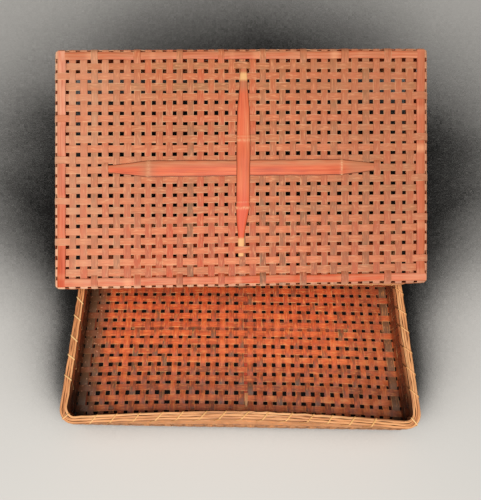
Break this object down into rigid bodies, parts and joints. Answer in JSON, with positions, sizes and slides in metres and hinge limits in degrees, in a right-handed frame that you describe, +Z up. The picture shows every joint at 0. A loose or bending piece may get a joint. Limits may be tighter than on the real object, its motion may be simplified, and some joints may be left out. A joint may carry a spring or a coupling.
{
  "type": "kimono basket",
  "caption": "Rectangular woven bamboo storage basket: an open tray with a lashed rim, and a larger box lid with a cross of slats that lifts off it.",
  "frame": {"origin": "centre of the tray's underside, on the face of its middle slat that rests on a surface", "axes": "+X to the right along the long side, +Y to the back, +Z up out of the tray"},
  "size_m": [0.6418, 0.6151, 0.3187],
  "materials": {
    "tray_weave": "matt split bamboo",
    "lid_weave": "matt, dusty split bamboo",
    "slat": "smooth bamboo skin, satin",
    "rim": "split bamboo, satin",
    "cane": "pale cane skin, satin"
  },
  "bodies": {
    "tray": {"tray_warps": "tray_weave", "tray_wefts": "tray_weave", "tray_hoop_1": "tray_weave", "tray_hoop_2": "tray_weave", "tray_hoop_3": "tray_weave", "tray_rim_outer_band": "rim", "tray_rim_inner_band_front": "rim", "tray_rim_inner_band_right": "rim", "tray_rim_inner_band_back": "rim", "tray_rim_inner_band_left": "rim", "tray_rim_strand_1": "rim", "tray_rim_strand_2": "rim", "tray_rim_strand_3": "rim", "tray_lashing_front": "cane", "tray_lashing_right": "cane", "tray_lashing_back": "cane", "tray_lashing_left": "cane", "tray_frame_slat_front": "slat", "tray_frame_slat_right": "slat", "tray_frame_slat_back": "slat", "tray_frame_slat_left": "slat", "tray_cross_slat_x": "slat", "tray_cross_slat_y": "slat"},
    "lid": {"lid_warps": "lid_weave", "lid_wefts": "lid_weave", "lid_hoop_1": "lid_weave", "lid_hoop_2": "lid_weave", "lid_hoop_3": "lid_weave", "lid_rim_outer_band": "rim", "lid_rim_inner_band_front": "rim", "lid_rim_inner_band_right": "rim", "lid_rim_inner_band_back": "rim", "lid_rim_inner_band_left": "rim", "lid_rim_strand_1": "rim", "lid_rim_strand_2": "rim", "lid_rim_strand_3": "rim", "lid_lashing_front": "cane", "lid_lashing_right": "cane", "lid_lashing_back": "cane", "lid_lashing_left": "cane", "lid_frame_slat_front": "slat", "lid_frame_slat_right": "slat", "lid_frame_slat_back": "slat", "lid_frame_slat_left": "slat", "lid_cross_slat_x": "slat", "lid_cross_slat_y": "slat"}
  },
  "joints": [
    {"name": "lid_lift", "type": "slide", "parent": "tray", "child": "lid", "axis": [0, 0, 1], "range_m": [0, 0.3]}
  ]
}
